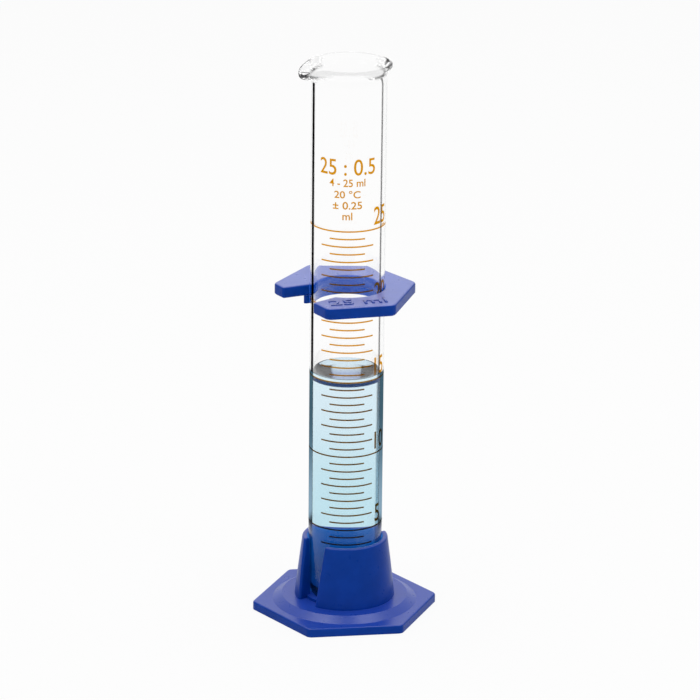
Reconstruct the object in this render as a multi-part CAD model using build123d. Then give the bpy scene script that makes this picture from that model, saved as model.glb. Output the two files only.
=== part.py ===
from build123d import *
import os
from math import atan, atan2, cos, exp, pi, radians, sin

# A 25 ml graduated cylinder: a glass tube that stands in a hexagonal plastic base,
# a C-shaped hexagonal guard ring that slides on the glass, and the liquid inside.
# Millimetres, +Z up. The origin is the centre of the base's underside. The scale faces -Y.

# Glass tube
tube_bore = 17.6
tube_wall = 0.95
tube_length = 147.4
foot_thickness = 1.5
foot_corner = 5.0
foot_inner_corner = 4.0

# Rim and pouring spout
rim_height = 4.6
flare_reach = 1.2
flare_bend = 3.0
lip_wall = 1.3
spout_azimuth = 202.0
spout_reach = 2.1
spout_spread = 22.5
spout_bend = 1.3
spout_droop = 2.3
droop_spread = 18.5
rim_points = 40
rim_stations = 6
lip_stations = 6

# Liquid
filled_ml = 15.0
meniscus_rise = 0.9
meniscus_width = 2.4

# Hexagonal base
base_across_flats = 43.0
base_turn = 8.1
base_corner = 1.75
base_plate = 2.3
base_edge = 0.5
recess_depth = 0.8
recess_rim = 2.6
step_height = 1.4
step_foot_radius = 19.2
step_top_radius = 16.7
collar_foot_radius = 13.3
collar_waist_radius = 12.35
collar_top_radius = 11.3
collar_height = 16.5
collar_round = 0.6
collar_clearance = 0.05
collar_slot_count = 2
collar_slot_azimuth = 219.7
collar_slot_top = 7.8
collar_slot_foot = 6.1
sill_wall = 1.1
sill_height = 0.8

# Guard ring. Its corners are a distance from the axis and a direction: the clip is sprung open
# on the glass, so that its hexagon is no longer regular and the mouth's side is the longest.
guard_corners = ((19.4, 174.8), (20.8, 256.0), (20.2, 307.6), (18.4, 12.3), (19.4, 70.5), (20.9, 120.2))
guard_corner = 2.0
guard_thickness = 3.0
guard_edge = 0.6
guard_top = 89.7
guard_clearance = 0.05
skirt_wall = 1.6
skirt_height = 2.2
mouth_azimuth = 213.2
mouth_inner = 12.2
mouth_outer = 14.4
mouth_round = 0.6

# Places worked out from the sizes above
tube_radius = tube_bore / 2 + tube_wall
foot_z = base_plate
floor_z = foot_z + foot_thickness
rim_z = foot_z + tube_length
rim_root_z = rim_z - rim_height
lip_rise = lip_wall / 2 * (1 + sin(atan(flare_reach * flare_bend / rim_height)))
step_z = base_plate + step_height
collar_z = step_z + collar_height
collar_bore_radius = tube_radius + collar_clearance
guard_bore_radius = tube_radius + guard_clearance
guard_z = guard_top - guard_thickness
skirt_z = guard_z - skirt_height
skirt_radius = guard_bore_radius + skirt_wall

# How far a cutting body runs past what it cuts, and how close two things are when they touch
beyond = 1.0
touching = 0.001


def lost_corner_volume(bore_radius, corner):
    """Volume that a rounded inner corner takes from a plain round bore."""
    area = (1 - pi / 4) * corner**2
    centroid = corner * (5 / 6 - pi / 4) / (1 - pi / 4)
    return 2 * pi * (bore_radius - centroid) * area


def level(millilitres):
    """Height of the surface when the tube holds this much liquid."""
    radius = tube_bore / 2
    volume = millilitres * 1000 + lost_corner_volume(radius, foot_inner_corner)
    return floor_z + volume / (pi * radius**2)


def revolved(*edges):
    """A solid of revolution about Z from a closed outline of radius and height."""
    return revolve(Plane.XZ * make_face(edges), Axis.Z)


def bump(turn, spread, squareness):
    """1 in the spout's direction, and falling to 0 away from it."""
    return exp(-((abs(turn) / spread) ** squareness))


def outside_point(turn, share):
    """Radius and height on the rim's outer skin, from the root at share 0 to the lip at 1."""
    pull = spout_reach * bump(turn, spout_spread, 3)
    lip_z = rim_z - lip_rise - spout_droop * bump(turn, droop_spread, 2)
    radius = tube_radius + flare_reach * share**flare_bend + pull * share**spout_bend
    return radius, rim_root_z + share * (lip_z - rim_root_z)


def rim_point(turn, share, swing):
    """Radius and height on the wall's skin: swing 0 is outside, pi is inside, and between is the lip."""
    step = 0.01
    r_low, z_low = outside_point(turn, share - step)
    radius, height = outside_point(turn, share)
    lean = atan2(radius - r_low, height - z_low)
    half = (tube_wall + (lip_wall - tube_wall) * share) / 2
    radius -= half * cos(lean) - half * cos(lean - swing)
    height += half * sin(lean) + half * sin(swing - lean)
    return radius, height


def rim_ring(share, swing):
    """One closed line round the rim."""
    points = []
    for index in range(rim_points):
        turn = 180.0 - 360.0 * index / rim_points
        radius, height = rim_point(turn, share, swing)
        angle = radians(spout_azimuth + turn)
        points.append((radius * cos(angle), radius * sin(angle), height))
    return Wire([Spline(*points, periodic=True)])


def root_ring(radius):
    """The circle where the rim grows out of the straight tube, started opposite the spout."""
    start = radians(spout_azimuth + 180)
    plane = Plane(origin=(0, 0, rim_root_z), x_dir=(cos(start), sin(start), 0), z_dir=(0, 0, -1))
    return Wire([Edge.make_circle(radius, plane)])


def rim_skin():
    """The rim's surface, up the outside, over the lip and down the inside."""
    shares = [index / rim_stations for index in range(1, rim_stations + 1)]
    rings = [root_ring(tube_radius)]
    rings += [rim_ring(share, 0) for share in shares]
    rings += [rim_ring(1, pi * index / lip_stations) for index in range(1, lip_stations)]
    rings += [rim_ring(share, pi) for share in reversed(shares)]
    rings += [root_ring(tube_bore / 2)]
    return Shell.make_loft(rings)


def cup_lines(radius, corner, bottom, top):
    """Half outline of a cup with a rounded lower corner, from the middle of its floor."""
    floor = Line((0, bottom), (radius - corner, bottom))
    side = Line((radius, bottom + corner), (radius, top))
    bend = TangentArc(floor @ 1, side @ 0, tangent=(1, 0))
    return [floor, bend, side]


def make_glass_tube():
    """One wall: the outside, the inside and the rim that joins them."""
    outside = cup_lines(tube_radius, foot_corner, foot_z, rim_root_z)
    inside = cup_lines(tube_bore / 2, foot_inner_corner, floor_z, rim_root_z)
    skins = [rim_skin()]
    for line in outside + inside:
        skins.append(Shell.revolve(Plane.XZ * line, 360, Axis.Z))
    return Solid(Shell([face for skin in skins for face in skin.faces()]))


def make_blue_liquid():
    """The liquid up to its ring, with a surface that climbs a little at the glass."""
    radius = tube_bore / 2
    surface = level(filled_ml)
    edge_z = surface + meniscus_rise
    walls = cup_lines(radius, foot_inner_corner, floor_z, edge_z)
    calm = Line((0, surface), (radius - meniscus_width, surface))
    climb = TangentArc(calm @ 1, (radius, edge_z), tangent=(1, 0))
    return revolved(*walls, climb, calm, Line(calm @ 0, (0, floor_z)))


def hexagon(across_flats, corner, turn):
    shape = RegularPolygon(across_flats / 2, 6, major_radius=False, rotation=turn)
    return fillet(shape.vertices(), corner)


def wedge(near, near_width, far, far_width, start, end):
    """A slot's outline along +X, from start to end, whose width is given at two places."""
    slope = (far_width - near_width) / (far - near) / 2
    first = near_width / 2 + slope * (start - near)
    last = near_width / 2 + slope * (end - near)
    return make_face(Polyline((start, -first), (end, -last), (end, last), (start, first), close=True))


def collar_slot(azimuth):
    """One slot through the collar wall, wider at the top."""
    outline = wedge(0, collar_slot_foot, collar_height, collar_slot_top, 0, collar_height + beyond)
    across = Plane(origin=(0, 0, step_z), x_dir=(0, 0, 1), z_dir=(1, 0, 0)) * outline
    return Rot(0, 0, azimuth) * extrude(across, amount=collar_foot_radius + beyond)


def round_bar(radius, bottom, top):
    """A plain bar that stands on the axis."""
    return Pos(0, 0, bottom) * extrude(Circle(radius), top - bottom)


def from_axis(point):
    return (point.X**2 + point.Y**2) ** 0.5


def collar_edges(collar):
    """The collar's top edges and the outer edges of its slots, which the mould rounds."""
    raised = [edge for edge in collar.edges() if (edge @ 0.5).Z > step_z + beyond]
    top = [edge for edge in raised if (edge @ 0.5).Z > collar_z - touching]
    outer = [edge for edge in raised if from_axis(edge @ 0.5) > collar_bore_radius + touching]
    return top + [edge for edge in outer if edge not in top]


def make_collar():
    """The socket round the tube, cut by its slots, whose feet keep a low sill."""
    foot, waist = (collar_foot_radius, step_z), (collar_waist_radius, step_z + collar_height / 2)
    side = ThreePointArc(foot, waist, (collar_top_radius, collar_z))
    collar = revolved(side, Polyline(side @ 1, (0, collar_z), (0, step_z), side @ 0))
    bore = round_bar(collar_bore_radius, step_z - beyond, collar_z + beyond)
    collar = collar - bore
    for index in range(collar_slot_count):
        collar = collar - collar_slot(collar_slot_azimuth + 360.0 * index / collar_slot_count)
    sill = round_bar(collar_bore_radius + sill_wall, step_z, step_z + sill_height) - bore
    return fillet(collar_edges(collar), collar_round) + sill


def make_hex_base():
    plate = extrude(hexagon(base_across_flats, base_corner, base_turn), base_plate)
    plate = fillet(plate.faces().sort_by(Axis.Z)[-1].edges(), base_edge)
    recess_flats = base_across_flats - 2 * recess_rim
    plate = plate - extrude(hexagon(recess_flats, base_corner, base_turn), recess_depth)
    step_root = base_plate - recess_depth
    step = revolved(
        Polyline((0, step_root), (step_foot_radius, step_root), (step_foot_radius, base_plate)),
        Polyline((step_foot_radius, base_plate), (step_top_radius, step_z), (0, step_z)),
        Line((0, step_z), (0, step_root)),
    )
    seat = round_bar(collar_bore_radius, base_plate, collar_z)
    return plate + step - seat + make_collar()


def clip_outline(outer):
    """The open ring left of an outline by the tube's bore and the mouth that clips over it."""
    chord = (guard_bore_radius**2 - (mouth_inner / 2) ** 2) ** 0.5
    reach, direction = guard_corners[0]
    side = reach * cos(radians(direction - mouth_azimuth))
    mouth = wedge(chord, mouth_inner, side, mouth_outer, 0, reach)
    mouth = Rot(0, 0, mouth_azimuth) * mouth
    ring = outer - Circle(guard_bore_radius) - mouth
    corners = [vertex for vertex in ring.vertices() if mouth.distance_to(vertex) < touching]
    return fillet(corners, mouth_round)


def make_guard_ring():
    corners = [(reach * cos(radians(way)), reach * sin(radians(way))) for reach, way in guard_corners]
    outline = make_face(Polyline(*corners, close=True))
    outline = clip_outline(fillet(outline.vertices(), guard_corner))
    plate = Pos(0, 0, guard_z) * extrude(outline, guard_thickness)
    plate = fillet(plate.faces().sort_by(Axis.Z)[-1].edges(), guard_edge)
    lower = plate.faces().sort_by(Axis.Z)[0].edges()
    plate = chamfer([edge for edge in lower if from_axis(edge @ 0.5) > skirt_radius], guard_edge / 2)
    skirt = Pos(0, 0, skirt_z) * extrude(clip_outline(Circle(skirt_radius)), skirt_height)
    return plate + skirt


if __name__ == "__main__":
    os.makedirs("parts", exist_ok=True)
    nodes = {
        "glass_tube": make_glass_tube(),
        "hex_base": make_hex_base(),
        "guard_ring": make_guard_ring(),
        "blue_liquid": make_blue_liquid(),
    }
    for name, shape in nodes.items():
        export_step(shape, f"parts/{name}.step")
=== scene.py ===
from math import atan, atan2, cos, exp, pi, radians, sin, tau

import bmesh
import bpy
from mathutils import Matrix, Vector


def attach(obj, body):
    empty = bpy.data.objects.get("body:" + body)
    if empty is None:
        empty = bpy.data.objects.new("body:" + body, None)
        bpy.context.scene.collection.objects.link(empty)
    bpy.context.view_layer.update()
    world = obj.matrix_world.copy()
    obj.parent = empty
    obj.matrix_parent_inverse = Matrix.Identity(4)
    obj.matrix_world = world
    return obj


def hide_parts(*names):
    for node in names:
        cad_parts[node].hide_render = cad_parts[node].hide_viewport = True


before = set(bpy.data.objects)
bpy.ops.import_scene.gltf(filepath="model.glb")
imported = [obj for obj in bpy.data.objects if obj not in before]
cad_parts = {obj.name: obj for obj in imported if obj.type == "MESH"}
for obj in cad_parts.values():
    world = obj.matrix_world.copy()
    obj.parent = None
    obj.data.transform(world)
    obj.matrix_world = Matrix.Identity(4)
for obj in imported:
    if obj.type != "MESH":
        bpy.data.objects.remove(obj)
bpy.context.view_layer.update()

MM = 0.001

# Sizes of the CAD model, in millimetres, that the finer meshes here repeat.
TUBE_BORE = 17.6
TUBE_WALL = 0.95
BORE_RADIUS = TUBE_BORE / 2
TUBE_RADIUS = BORE_RADIUS + TUBE_WALL
FOOT_Z = 2.3
FLOOR_Z = 3.8
FOOT_CORNER = 5.0
FOOT_INNER_CORNER = 4.0
RIM_Z = 149.7
RIM_HEIGHT = 4.6
RIM_ROOT_Z = RIM_Z - RIM_HEIGHT
FLARE_REACH = 1.2
FLARE_BEND = 3.0
LIP_WALL = 1.3
LIP_RISE = LIP_WALL / 2 * (1 + sin(atan(FLARE_REACH * FLARE_BEND / RIM_HEIGHT)))
SPOUT_AZIMUTH = 202.0
SPOUT_REACH = 2.1
SPOUT_SPREAD = 22.5
SPOUT_SQUARENESS = 3
SPOUT_BEND = 1.3
SPOUT_DROOP = 2.3
DROOP_SPREAD = 18.5
DROOP_SQUARENESS = 2
FILLED_ML = 15.0
MENISCUS_RISE = 0.9
MENISCUS_WIDTH = 2.4
GUARD_TOP = 89.7

# The camera, worked out from the photo's ellipses and vertical scale.
CAMERA_AT = (0.0, -999.0, 411.1)
CAMERA_AIM = (0.846, 0.0, 71.98)
CAMERA_ROLL = 0.010
CAMERA_LENS = 207.17

# Print on the glass. Angles are measured from the front, to the right.
INK_SINK = 0.01
INK_RISE = 0.03
LINE_WIDTH = 0.4
RING_HALF_ANGLE = 87.0
LONG_HALF_ANGLE = 43.0
SHORT_HALF_ANGLE = 27.8
LOWEST_MARK_ML = 4.0
HIGHEST_MARK_ML = 25.0
NUMBER_HEIGHT = 4.85
NUMBER_ANGLE = 51.5
NUMBER_ANGLE_PER_ML = -0.3
NUMBER_RISE = 1.1
NUMBER_STRETCH = 0.82
NUMBER_BOLD = 0.009
NUMBERED_ML = (5, 10, 15, 20, 25)
FRONT = -90.0
# The print isn't quite straight on the tube: it sits this many degrees to the right at height 0, and
# less higher up.
PRINT_TURN = 3.7
PRINT_TURN_PER_MM = -0.043

# Raised letters on the guard. Its front edge runs at this angle, and they stand this far out from the axis.
GUARD_FRONT = 13.4
GUARD_LETTER_HEIGHT = 3.9
GUARD_LETTER_REACH = 13.9
GUARD_LETTER_SHIFT = -0.5
GUARD_LETTER_RISE = 0.18
GUARD_LETTER_STRETCH = 1.25
GUARD_LETTER_BOLD = 0.004

# How fine the added meshes are: points round the tube, rings up a rounded foot, rings up the flare,
# rings over the lip and rings across the liquid's raised edge.
AROUND = 192
FOOT_RINGS = 14
FLARE_RINGS = 26
FLARE_CROWDING = 0.8
LIP_RINGS = 14
MENISCUS_RINGS = 12
EDGE_SUPPORT = 0.02
LETTER_SLICE = 0.4

# The liquid is this much wider than the bore, so that no air shows between it and the glass.
WETTING = 0.015

# Block of print above the scale: text, height, height above the top ring, stretch and extra boldness.
TITLE = (
    ("25 : 0.5", 4.3, 15.0, 0.88, 0.006),
    ("4 - 25 ml", 2.05, 12.0, 0.94, 0.014),
    ("20 °C", 2.05, 8.95, 1.1, 0.014),
    ("± 0.25", 2.05, 6.0, 1.1, 0.014),
    ("ml", 2.05, 3.15, 1.0, 0.014),
)

# Colours, as the linear values that shaders take.
BLUE_DEEP = (0.0012, 0.045, 0.33, 1)
BLUE_PLAIN = (0.0018, 0.050, 0.37, 1)
# Painted light: the plastic's upper faces are painted this brighter blue, as if lit from above.
BLUE_TOP_PAINTED_LIGHT = (0.0, 0.05, 0.62, 1)
# Water colours, with painted shade making the water a deeper blue towards the foot.
WATER_LOW = (0.53, 0.77, 0.86, 1)
WATER_HIGH = (0.69, 0.845, 0.925, 1)
# Painted shade at the liquid's edges.
WATER_EDGE_SHADE_LOW = (0.046, 0.145, 0.23, 1)
WATER_EDGE_SHADE_HIGH = (0.0056, 0.018, 0.032, 1)
# Painted reflection just under the liquid's surface.
WATER_PAINTED_REFLECTION = (0.0002, 0.0022, 0.022, 1)
# Painted shade on the liquid's surface.
WATER_SURFACE_SHADE = (0.15, 0.20, 0.42, 1)
# Painted shade in the glass wall: its dark line, and its teal band beside the liquid.
WALL_SHADE_LINE = (0.01, 0.008, 0.012, 1)
WALL_TEAL_SHADE_LOW = (0.50, 0.62, 0.70, 1)
WALL_TEAL_SHADE_HIGH = (0.23, 0.34, 0.40, 1)
# Print colours: painted shade below the liquid's surface, and the ink's own colour above it.
INK_SHADED = (0.50, 0.31, 0.07, 1)
INK_DRY = (0.86, 0.585, 0.05, 1)

# How much of the print is solid colour. The rest is a clear stain.
INK_COVER = 0.1

# Painted light: an emission glow inside the bores of the two plastic pieces, as (height in millimetres,
# colour).
BASE_LIGHT = ((8, (0.003, 0.035, 0.15, 1)), (19, (0.006, 0.09, 0.30, 1)), (22, (0.015, 0.19, 0.52, 1)))
GUARD_LIGHT = ((80, (0.003, 0.035, 0.2, 1)), (90, (0.004, 0.045, 0.24, 1)))

# How strongly the upper faces of the two plastic pieces are whitened by a painted sheen.
BASE_PAINTED_SHEEN = 0.03
GUARD_PAINTED_SHEEN = 0.3

# Lamps: name, place in metres, width, height and watts. Each one points at the middle of the tube.
LAMPS = (
    ("top_box", (0.0, 0.1, 1.1), 0.9, 0.7, 6.0),
    ("left_box", (-0.75, -0.75, 0.75), 0.3, 0.7, 1.0),
    ("right_box", (0.75, -0.75, 0.75), 0.3, 0.7, 1.0),
)
LAMP_AIM = (0, 0, 0.08)
FLOOR_HALF_WIDTH = 3000

# How strongly light bends.
GLASS_IOR = 1.47
LIQUID_IOR = 1.33
PLASTIC_IOR = 1.5

# Painted shade: dark lines in the glass wall, by how edge-on it is seen: where each starts, is full, starts
# to end and ends.
LEFT_LINE = (0.57, 0.61, 0.72, 0.76)
RIGHT_LINE = (0.49, 0.52, 0.56, 0.585)
RIGHT_LINE_DEPTH = 0.75
WET_BAND = (0.57, 0.61)

# Painted light in the bores, standing in for light through the thin plastic: the radius where that glow
# fades, and where it ends.
LIT_BORE = (10.6, 11.4)


def level(millilitres):
    """Height of the liquid's surface, as the CAD model works it out."""
    corner = FOOT_INNER_CORNER
    area = (1 - pi / 4) * corner**2
    centroid = corner * (5 / 6 - pi / 4) / (1 - pi / 4)
    lost = 2 * pi * (BORE_RADIUS - centroid) * area
    return FLOOR_Z + (millilitres * 1000 + lost) / (pi * BORE_RADIUS**2)


def srgb(red, green, blue):
    """A colour given as 0 to 255 on the screen, as the linear values that shaders take."""
    def linear(value):
        value /= 255.0
        return value / 12.92 if value <= 0.04045 else ((value + 0.055) / 1.055) ** 2.4
    return (linear(red), linear(green), linear(blue), 1.0)


class Nodes:
    """A short way to write a material's node tree."""

    def __init__(self, name, world=False):
        kind = bpy.data.worlds if world else bpy.data.materials
        self.owner = kind.new(name)
        self.owner.use_nodes = True
        self.tree = self.owner.node_tree
        self.tree.nodes.clear()
        self.out = self.tree.nodes.new("ShaderNodeOutput" + ("World" if world else "Material"))

    def new(self, kind, inputs=None, **settings):
        node = self.tree.nodes.new("ShaderNode" + kind)
        for key, value in settings.items():
            setattr(node, key, value)
        for key, value in (inputs or {}).items():
            self.put(node, key, value)
        return node

    def put(self, node, key, value):
        socket = node.inputs[key]
        if isinstance(value, bpy.types.NodeSocket):
            self.tree.links.new(value, socket)
        elif isinstance(value, bpy.types.Node):
            self.tree.links.new(value.outputs[0], socket)
        else:
            socket.default_value = value

    def ramp(self, value, stops):
        """A colour ramp: stops are (place, colour)."""
        node = self.new("ValToRGB", {"Fac": value})
        band = node.color_ramp
        while len(band.elements) < len(stops):
            band.elements.new(0.5)
        for element, (place, colour) in zip(band.elements, stops):
            element.position = place
            element.color = colour
        return node

    def math(self, operation, first, second=0.0):
        return self.new("Math", {0: first, 1: second}, operation=operation)

    def product(self, first, *others):
        for other in others:
            first = self.math("MULTIPLY", first, other)
        return first

    def largest(self, first, *others):
        for other in others:
            first = self.math("MAXIMUM", first, other)
        return first

    def range(self, value, low, high, start=0.0, end=1.0, smooth=True):
        """Takes a value from low to high over to start to end, and holds it outside them."""
        node = self.new("MapRange", {"Value": value, "From Min": low, "From Max": high,
                                     "To Min": start, "To Max": end})
        node.interpolation_type = "SMOOTHSTEP" if smooth else "LINEAR"
        return node.outputs[0]

    def mix(self, share, first, second):
        """A blend of two colours. The node keeps its colour sockets at places 6 and 7, and gives one at 2."""
        return self.new("Mix", {"Factor": share, 6: first, 7: second}, data_type="RGBA").outputs[2]

    def from_axis(self, axes):
        """Distance from the tube's axis, in metres."""
        squares = [self.math("POWER", axes[key], 2.0) for key in "XY"]
        return self.math("POWER", self.math("ADD", *squares), 0.5)

    def place(self):
        """The object's own coordinates, in metres."""
        return self.new("TexCoord").outputs["Object"]

    def axes(self):
        """The object's own coordinates, as X, Y and Z."""
        return self.new("SeparateXYZ", {0: self.place()}).outputs

    def normal(self):
        """The surface's normal, as X, Y and Z."""
        return self.new("SeparateXYZ", {0: self.new("NewGeometry").outputs["Normal"]}).outputs

    def facing(self):
        """0 where a surface is seen straight on, up to 1 where it is seen edge on."""
        return self.new("LayerWeight", {"Blend": 0.5}).outputs["Facing"]


def add_object(name, data):
    thing = bpy.data.objects.new(name, data)
    bpy.context.scene.collection.objects.link(thing)
    return thing


# Meshes

def mesh_object(name, vertices, faces, smooth=True):
    mesh = bpy.data.meshes.new(name)
    mesh.from_pydata([tuple(value * MM for value in v) for v in vertices], [], faces)
    mesh.validate()
    mesh.polygons.foreach_set("use_smooth", [smooth] * len(mesh.polygons))
    return add_object(name, mesh)


def lathe(name, rings, bottom, top):
    """A closed skin through rings of points, from one point on the axis to another."""
    vertices = [bottom]
    faces = []
    count = len(rings[0])
    for ring in rings:
        vertices += ring
    last = len(vertices)
    vertices.append(top)
    for index in range(count):
        after = (index + 1) % count
        faces.append((0, 1 + after, 1 + index))
        for row in range(len(rings) - 1):
            low, high = 1 + row * count, 1 + (row + 1) * count
            faces.append((low + index, low + after, high + after, high + index))
        end = last - count
        faces.append((end + index, end + after, last))
    return mesh_object(name, vertices, faces)


def circle(radius, height):
    """One ring of points, started in the spout's direction."""
    points = []
    for index in range(AROUND):
        angle = radians(SPOUT_AZIMUTH) + tau * index / AROUND
        points.append((radius * cos(angle), radius * sin(angle), height))
    return points


def cup_rings(radius, corner, bottom, top):
    """Rings up a cup's rounded lower corner and its side. One is close under the top, to keep its shading."""
    rings = [circle(radius - corner, bottom)]
    for index in range(1, FOOT_RINGS + 1):
        turn = pi / 2 * index / FOOT_RINGS
        rings.append(circle(radius - corner + corner * sin(turn), bottom + corner * (1 - cos(turn))))
    rings += [circle(radius, top - EDGE_SUPPORT), circle(radius, top)]
    return rings


def bump(turn, spread, squareness):
    """1 in the spout's direction, and falling to 0 away from it."""
    return exp(-((abs(turn) / spread) ** squareness))


def outside_point(turn, share):
    """Radius and height on the rim's outer skin, from the root at share 0 to the lip at 1."""
    pull = SPOUT_REACH * bump(turn, SPOUT_SPREAD, SPOUT_SQUARENESS)
    lip_z = RIM_Z - LIP_RISE - SPOUT_DROOP * bump(turn, DROOP_SPREAD, DROOP_SQUARENESS)
    radius = TUBE_RADIUS + FLARE_REACH * share**FLARE_BEND + pull * share**SPOUT_BEND
    return radius, RIM_ROOT_Z + share * (lip_z - RIM_ROOT_Z)


def rim_point(turn, share, swing):
    """Radius and height on the wall's skin: swing 0 is outside, pi is inside, and between is the lip."""
    step = 0.01
    r_low, z_low = outside_point(turn, max(share - step, 0.0))
    r_high, z_high = outside_point(turn, max(share, step))
    radius, height = outside_point(turn, share)
    lean = atan2(r_high - r_low, z_high - z_low)
    half = (TUBE_WALL + (LIP_WALL - TUBE_WALL) * share) / 2
    radius -= half * cos(lean) - half * cos(lean - swing)
    height += half * sin(lean) + half * sin(swing - lean)
    return radius, height


def rim_ring(share, swing):
    points = []
    for index in range(AROUND):
        turn = 360.0 * index / AROUND
        turn = turn - 360.0 if turn > 180.0 else turn
        radius, height = rim_point(turn, share, swing)
        angle = radians(SPOUT_AZIMUTH + turn)
        points.append((radius * cos(angle), radius * sin(angle), height))
    return points


def make_glass():
    """The tube's outside, its rim and its inside, as one closed wall."""
    shares = [(index / FLARE_RINGS) ** FLARE_CROWDING for index in range(1, FLARE_RINGS + 1)]
    rings = cup_rings(TUBE_RADIUS, FOOT_CORNER, FOOT_Z, RIM_ROOT_Z)
    rings += [rim_ring(share, 0) for share in shares]
    rings += [rim_ring(1, pi * index / LIP_RINGS) for index in range(1, LIP_RINGS)]
    rings += [rim_ring(share, pi) for share in reversed(shares)]
    rings += reversed(cup_rings(BORE_RADIUS, FOOT_INNER_CORNER, FLOOR_Z, RIM_ROOT_Z))
    return lathe("glass_wall", rings, (0, 0, FOOT_Z), (0, 0, FLOOR_Z))


def make_liquid():
    """The liquid, with its edge raised where it meets the glass."""
    surface = level(FILLED_ML)
    bottom = FLOOR_Z - WETTING
    rings = cup_rings(BORE_RADIUS + WETTING, FOOT_INNER_CORNER, bottom, surface + MENISCUS_RISE)
    bend = (MENISCUS_WIDTH**2 + MENISCUS_RISE**2) / (2 * MENISCUS_RISE)
    for index in range(1, MENISCUS_RINGS + 1):
        along = MENISCUS_WIDTH * (1 - index / MENISCUS_RINGS)
        climb = bend - (bend**2 - along**2) ** 0.5
        rings.append(circle(BORE_RADIUS - MENISCUS_WIDTH + along, surface + climb))
    return lathe("liquid_body", rings, (0, 0, bottom), (0, 0, surface))


def on_tube(angle, height, radius):
    """A point at an angle to the right of the front."""
    way = radians(FRONT + angle + PRINT_TURN + PRINT_TURN_PER_MM * height)
    return (radius * cos(way), radius * sin(way), height)


def add_line(vertices, faces, height, half_angle):
    """One printed line round the front of the tube, as a thin band with blunt ends."""
    low, high = TUBE_RADIUS - INK_SINK, TUBE_RADIUS + INK_RISE
    half = LINE_WIDTH / 2
    corners = ((low, -half), (high, -half * 0.8), (high, half * 0.8), (low, half))
    steps = max(8, round(half_angle))
    first = len(vertices)
    for index in range(steps + 1):
        angle = half_angle * (2 * index / steps - 1)
        vertices.extend(on_tube(angle, height + rise, radius) for radius, rise in corners)
    for index in range(steps):
        here, there = first + 4 * index, first + 4 * (index + 1)
        for side in range(4):
            beside = (side + 1) % 4
            faces.append((here + side, there + side, there + beside, here + beside))
    faces.append(tuple(first + side for side in range(4)))
    faces.append(tuple(first + 4 * steps + side for side in (3, 2, 1, 0)))


def make_scale_lines():
    vertices, faces = [], []
    halves = round((HIGHEST_MARK_ML - LOWEST_MARK_ML) * 2)
    for index in range(halves + 1):
        amount = LOWEST_MARK_ML + index / 2
        if amount % 5 == 0:
            half_angle = RING_HALF_ANGLE
        elif amount % 1 == 0:
            half_angle = LONG_HALF_ANGLE
        else:
            half_angle = SHORT_HALF_ANGLE
        add_line(vertices, faces, level(amount), half_angle)
    return mesh_object("scale_lines", vertices, faces, smooth=False)


def letters(text, height, stretch, bold):
    """Flat letters as a bmesh in millimetres, with their lower left corner at the origin."""
    curve = bpy.data.curves.new("letters", "FONT")
    curve.body = text
    curve.resolution_u = 6
    curve.offset = bold
    thing = bpy.data.objects.new("letters", curve)
    mesh = bpy.data.meshes.new_from_object(thing)
    flat = bmesh.new()
    flat.from_mesh(mesh)
    bpy.data.objects.remove(thing)
    bpy.data.curves.remove(curve)
    bpy.data.meshes.remove(mesh)
    left = min(v.co.x for v in flat.verts)
    low = min(v.co.y for v in flat.verts)
    tall = max(v.co.y for v in flat.verts) - low
    scale = height / tall
    for v in flat.verts:
        v.co = Vector(((v.co.x - left) * scale * stretch, (v.co.y - low) * scale, 0))
    return flat


def width_of(flat):
    return max(v.co.x for v in flat.verts)


def slice_up(flat, step):
    """Cuts letters into narrow strips so that they can follow a curve."""
    place = step
    end = width_of(flat)
    while place < end:
        everything = flat.verts[:] + flat.edges[:] + flat.faces[:]
        bmesh.ops.bisect_plane(flat, geom=everything, plane_co=(place, 0, 0), plane_no=(1, 0, 0))
        place += step


def thicken(flat, depth):
    """Gives flat letters a thickness: their faces move up by depth and keep a back."""
    bmesh.ops.remove_doubles(flat, verts=flat.verts, dist=1e-5)
    back = flat.faces[:]
    made = bmesh.ops.extrude_face_region(flat, geom=back, use_keep_orig=True)
    for item in made["geom"]:
        if isinstance(item, bmesh.types.BMVert):
            item.co.z += depth
    bmesh.ops.recalc_face_normals(flat, faces=flat.faces)


def wrapped(name, rows):
    """Letters printed on the tube, as one object.

    A row is (text, height, angle of its left end or None for centred, base height, stretch, extra boldness).
    """
    mesh = bpy.data.meshes.new(name)
    together = bmesh.new()
    for text, height, left, base, stretch, bold in rows:
        flat = letters(text, height, stretch, bold)
        slice_up(flat, LETTER_SLICE)
        start = -width_of(flat) / 2 if left is None else radians(left) * TUBE_RADIUS
        thicken(flat, INK_SINK + INK_RISE)
        for v in flat.verts:
            angle = (start + v.co.x) / TUBE_RADIUS
            radius = TUBE_RADIUS - INK_SINK + v.co.z
            v.co = Vector(on_tube(angle * 180 / pi, base + v.co.y, radius)) * MM
        part = bpy.data.meshes.new("part")
        flat.to_mesh(part)
        together.from_mesh(part)
        bpy.data.meshes.remove(part)
        flat.free()
    together.to_mesh(mesh)
    together.free()
    return add_object(name, mesh)


def make_numbers():
    rows = []
    for amount in NUMBERED_ML:
        base = level(amount) + NUMBER_RISE
        angle = NUMBER_ANGLE + NUMBER_ANGLE_PER_ML * amount
        rows.append((str(amount), NUMBER_HEIGHT, angle, base, NUMBER_STRETCH, NUMBER_BOLD))
    return wrapped("scale_numbers", rows)


def make_title():
    """The block above the scale: what it holds, and how finely and closely it reads."""
    top = level(HIGHEST_MARK_ML)
    rows = [(text, height, None, top + rise, stretch, bold) for text, height, rise, stretch, bold in TITLE]
    return wrapped("title_print", rows)


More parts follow.
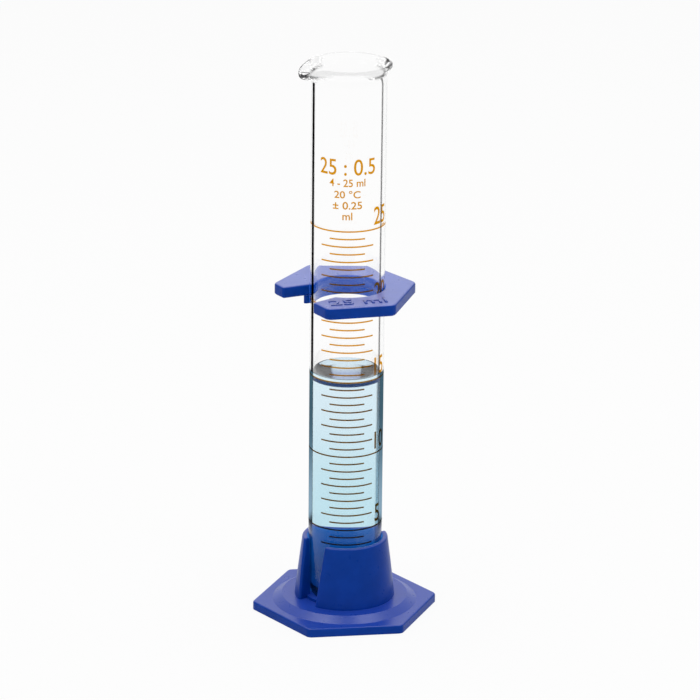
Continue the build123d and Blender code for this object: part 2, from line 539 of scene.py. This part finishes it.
def make_guard_letters():
    """Raised letters on the guard's top, along its front edge."""
    way = radians(GUARD_FRONT)
    along, outward = Vector((cos(way), sin(way), 0)), Vector((sin(way), -cos(way), 0))
    flat = letters("25 ml", GUARD_LETTER_HEIGHT, GUARD_LETTER_STRETCH, GUARD_LETTER_BOLD)
    middle = width_of(flat) / 2 - GUARD_LETTER_SHIFT
    thicken(flat, GUARD_LETTER_RISE + INK_SINK)
    for v in flat.verts:
        out = GUARD_LETTER_REACH + GUARD_LETTER_HEIGHT / 2 - v.co.y
        spot = along * (v.co.x - middle) + outward * out
        v.co = Vector((spot.x, spot.y, GUARD_TOP - INK_SINK + v.co.z)) * MM
    mesh = bpy.data.meshes.new("guard_letters")
    flat.to_mesh(mesh)
    flat.free()
    return add_object("guard_letters", mesh)


# Materials

def plastic(name, painted_sheen, glow):
    """Moulded royal blue plastic with fine pores and scuffs.

    Its upper faces are painted a brighter blue, haze whitens them further as a painted sheen, and glow paints
    light into its bore, as stops of height and colour.
    """
    n = Nodes(name)
    place, axes, normal = n.place(), n.axes(), n.normal()
    cloud = n.new("TexNoise", {"Vector": place, "Scale": 160.0, "Detail": 3.0, "Roughness": 0.6})
    colour = n.mix(n.range(cloud.outputs["Fac"], 0.35, 0.65), BLUE_DEEP, BLUE_PLAIN)
    up = n.range(normal["Z"], 0.55, 0.98)
    # Painted light: faces that point up are painted a brighter blue.
    colour = n.mix(n.product(up, 0.3), colour, BLUE_TOP_PAINTED_LIGHT)
    # Painted sheen: up-facing faces are whitened towards lilac, as much as haze gives.
    colour = n.mix(n.product(up, painted_sheen), colour, srgb(190, 196, 240))
    grain = n.new("TexNoise", {"Vector": place, "Scale": 2600.0, "Detail": 2.0, "Roughness": 0.5})
    bump_node = n.new("Bump", {"Height": grain.outputs["Fac"], "Strength": 0.03, "Distance": 0.0002})
    scuff = n.new("TexNoise", {"Vector": place, "Scale": 420.0, "Detail": 5.0, "Roughness": 0.7})
    rough = n.range(scuff.outputs["Fac"], 0.3, 0.7, 0.27, 0.33)
    sheen = n.range(up, 0.0, 1.0, 0.08, 0.52, smooth=False)
    distance = n.from_axis(axes)
    outward = n.math("ADD", *[n.product(normal[key], axes[key]) for key in "XY"])
    outward = n.math("DIVIDE", outward, distance)
    # Painted light: the bore's inner walls glow by emission, coloured by height.
    bore = n.product(n.range(distance, LIT_BORE[1] * MM, LIT_BORE[0] * MM), n.range(outward, -0.5, -0.8))
    light = n.ramp(n.product(axes["Z"], 1 / RIM_Z / MM),
                   [(height / RIM_Z, shade) for height, shade in glow])
    shader = n.new("BsdfPrincipled", {"Base Color": colour, "Roughness": rough, "IOR": PLASTIC_IOR,
                                      "Specular IOR Level": sheen, "Normal": bump_node,
                                      "Emission Color": light, "Emission Strength": bore})
    n.put(n.out, "Surface", shader)
    return n.owner


def see_through(n, shader, tint):
    """Lets a lamp's light pass, so that what stands inside glass isn't in its shadow."""
    shadow = n.new("LightPath").outputs["Is Shadow Ray"]
    clear = n.new("BsdfTransparent", {"Color": tint})
    both = n.new("MixShader", {0: shadow, 1: shader, 2: clear})
    n.put(n.out, "Surface", both)


def bar(n, facing, places, depth=1.0):
    """0, then depth between the second and third place, then 0 again."""
    off, full = (0, 0, 0, 1), (depth, depth, depth, 1)
    return n.ramp(facing, [(0.0, off), *zip(places, (off, full, full, off))])


def glass():
    """Clear glass, with painted shade as a dark line just inside its outline and as a teal band beside the
    liquid.
    """
    n = Nodes("clear_glass")
    axes, normal, facing = n.axes(), n.normal(), n.facing()
    # Painted shade: the line is fainter on the right side than on the left.
    right = n.range(normal["X"], -0.3, 0.3)
    line = n.mix(right, bar(n, facing, LEFT_LINE), bar(n, facing, RIGHT_LINE, RIGHT_LINE_DEPTH))
    # The painted dark line is left off the lip and the flare, apart from the spout and the right end of the
    # rim.
    upright = n.range(n.math("ABSOLUTE", normal["Z"]), 0.22, 0.4, 1.0, 0.0)
    ends = n.largest(n.range(axes["X"], -9.6 * MM, -10.4 * MM), n.range(axes["X"], 8.4 * MM, 9.6 * MM))
    line = n.product(line, n.largest(ends, upright))
    # Beside the liquid a broader teal band of painted shade takes the line's place.
    band = n.product(n.range(facing, *WET_BAND), n.range(axes["Z"], 22 * MM, 26 * MM))
    brim = (level(FILLED_ML) + MENISCUS_RISE) * MM
    dry = n.range(axes["Z"], brim - 0.2 * MM, brim + 0.2 * MM)
    outer = n.range(n.from_axis(axes), (BORE_RADIUS + 0.4) * MM, (BORE_RADIUS + 0.6) * MM)
    dark = n.product(n.mix(dry, band, line), outer)
    teal = n.mix(n.range(axes["Z"], 28 * MM, 56 * MM), WALL_TEAL_SHADE_LOW, WALL_TEAL_SHADE_HIGH)
    shade = n.new("BsdfTransparent", {"Color": n.mix(dry, teal, WALL_SHADE_LINE)})
    # Reflections are weaker beside the liquid.
    mirror = n.mix(dry, (0.15, 0.15, 0.15, 1), (0.5, 0.5, 0.5, 1))
    shader = n.new("BsdfPrincipled", {"Base Color": (1, 1, 1, 1), "Roughness": 0.0, "IOR": GLASS_IOR,
                                      "Transmission Weight": 1.0, "Specular Tint": mirror})
    shader = n.new("MixShader", {0: dark, 1: shader, 2: shade})
    # The rounded lip is softened, apart from its painted dark ends.
    lip = n.range(axes["Z"], (RIM_ROOT_Z + 1.6) * MM, (RIM_ROOT_Z + 2.6) * MM, 0.0, 0.85)
    lip = n.product(lip, n.range(ends, 0.0, 1.0, 1.0, 0.1, smooth=False))
    shader = n.new("MixShader", {0: lip, 1: shader, 2: n.new("BsdfTransparent")})
    see_through(n, shader, (0.95, 0.96, 0.97, 1))
    return n.owner


def liquid():
    """Light blue water, with painted shade making it a deeper blue towards the foot and dark at its edges,
    where it bends the view.
    """
    n = Nodes("blue_liquid")
    axes, normal = n.axes(), n.normal()
    # Painted shade: the water is painted a deeper blue towards the foot.
    depth = n.range(axes["Z"], 30 * MM, 62 * MM)
    body = n.mix(depth, WATER_LOW, WATER_HIGH)
    dark = n.mix(depth, WATER_EDGE_SHADE_LOW, WATER_EDGE_SHADE_HIGH)
    behind = n.new("NewGeometry").outputs["Backfacing"]
    near_wall = n.range(n.math("ABSOLUTE", normal["Z"]), 0.2, 0.1)
    near_wall = n.product(near_wall, n.math("SUBTRACT", 1.0, behind))
    # Painted shade: the near wall's edges are painted dark, reaching further in on the right.
    inward = n.math("ADD", n.facing(), n.range(normal["X"], -0.3, 0.3, 0.0, 0.05))
    colour = n.mix(n.product(n.range(inward, 0.25, 0.285), near_wall), body, dark)
    # Just under its surface the liquid gets a painted reflection of the dark below, as a deep blue band.
    surface = level(FILLED_ML)
    under = n.product(n.range(axes["Z"], (surface - 0.1) * MM, (surface - 0.5) * MM),
                      n.range(axes["Z"], (surface - 1.6) * MM, (surface - 1.3) * MM))
    colour = n.mix(n.product(under, near_wall), colour, WATER_PAINTED_REFLECTION)
    # The surface gets lilac painted shade, most of all at the front.
    top = n.product(n.range(normal["Z"], 0.4, 0.7), n.range(axes["Y"], 5 * MM, -2 * MM, 0.15, 1.0))
    colour = n.mix(top, colour, WATER_SURFACE_SHADE)
    shader = n.new("BsdfPrincipled", {"Base Color": colour, "Roughness": 0.0, "IOR": LIQUID_IOR,
                                      "Transmission Weight": 1.0, "Specular Tint": (0.6, 0.62, 0.7, 1)})
    see_through(n, shader, (0.85, 0.93, 0.97, 1))
    return n.owner


def ink():
    """Amber stain, which lets some light through, with painted shade making it darker below the liquid's
    surface.
    """
    n = Nodes("amber_stain")
    dry = n.range(n.axes()["Z"], (level(FILLED_ML) - 0.6) * MM, (level(FILLED_ML) + 0.6) * MM)
    # Painted shade: below the liquid's surface the print is painted darker.
    tint = n.mix(dry, INK_SHADED, INK_DRY)
    body = n.mix(dry, srgb(70, 50, 8), srgb(214, 140, 14))
    filter_shader = n.new("BsdfTransparent", {"Color": tint})
    solid = n.new("BsdfPrincipled", {"Base Color": body, "Roughness": 0.5})
    both = n.new("MixShader", {0: INK_COVER, 1: filter_shader, 2: solid})
    n.put(n.out, "Surface", both)
    return n.owner


# Studio

def make_camera():
    data = bpy.data.cameras.new("camera")
    data.lens = CAMERA_LENS
    data.sensor_width = 36.0
    data.clip_start = 0.05
    data.clip_end = 20.0
    thing = add_object("camera", data)
    place = Vector(CAMERA_AT) * MM
    forward = (Vector(CAMERA_AIM) * MM - place).normalized()
    right = forward.cross(Vector((0, 0, 1))).normalized()
    up = right.cross(forward)
    turned = cos(CAMERA_ROLL) * right + sin(CAMERA_ROLL) * up
    up = cos(CAMERA_ROLL) * up - sin(CAMERA_ROLL) * right
    matrix = Matrix((turned, up, -forward)).transposed().to_4x4()
    matrix.translation = place
    thing.matrix_world = matrix
    bpy.context.scene.camera = thing


def softbox(name, centre, width, height, watts):
    data = bpy.data.lights.new(name, "AREA")
    data.shape = "RECTANGLE"
    data.size = width
    data.size_y = height
    data.energy = watts
    thing = add_object(name, data)
    thing.location = centre
    ahead = (Vector(LAMP_AIM) - Vector(centre)).normalized()
    thing.rotation_euler = ahead.to_track_quat("-Z", "Y").to_euler()


def seen_directly(n):
    """1 for what the camera sees, also in a reflection or through glass, and 0 for light."""
    path = n.new("LightPath").outputs
    return n.largest(path["Is Camera Ray"], path["Is Glossy Ray"], path["Is Transmission Ray"])


def make_stage():
    half = FLOOR_HALF_WIDTH
    corners = [(-half, -half, 0), (half, -half, 0), (half, half, 0), (-half, half, 0)]
    floor = mesh_object("floor", corners, [(0, 1, 2, 3)], smooth=False)
    n = Nodes("white_floor")
    lit = n.new("BsdfDiffuse", {"Color": (0.92, 0.92, 0.92, 1)})
    white = n.new("Emission", {"Color": (1, 1, 1, 1), "Strength": 1.0})
    share = n.product(seen_directly(n), 0.9)
    n.put(n.out, "Surface", n.new("MixShader", {0: share, 1: lit, 2: white}))
    floor.data.materials.append(n.owner)

    w = Nodes("studio", world=True)
    strength = w.range(seen_directly(w), 0.0, 1.0, 0.42, 1.0, smooth=False)
    w.put(w.out, "Surface", w.new("Background", {"Color": (1, 1, 1, 1), "Strength": strength}))
    bpy.context.scene.world = w.owner


bpy.context.scene.view_settings.view_transform = "Standard"
make_camera()
make_stage()
for lamp in LAMPS:
    softbox(*lamp)

base_blue = plastic("base_blue", BASE_PAINTED_SHEEN, BASE_LIGHT)
guard_blue = plastic("guard_blue", GUARD_PAINTED_SHEEN, GUARD_LIGHT)
clear = glass()
for name, blue in (("hex_base", base_blue), ("guard_ring", guard_blue)):
    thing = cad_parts[name]
    for place in thing.material_slots:
        place.material = blue

wall = make_glass()
water = make_liquid()
stain = ink()
pieces = [
    (wall, clear, "clear_glass"),
    (water, liquid(), "blue_liquid"),
    (make_scale_lines(), stain, "clear_glass"),
    (make_numbers(), stain, "clear_glass"),
    (make_title(), stain, "clear_glass"),
]
for thing, material, finish in pieces:
    thing.data.materials.append(material)
    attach(thing, "cylinder")
raised = make_guard_letters()
raised.data.materials.append(guard_blue)
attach(raised, "guard")
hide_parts("glass_tube")
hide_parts("blue_liquid")
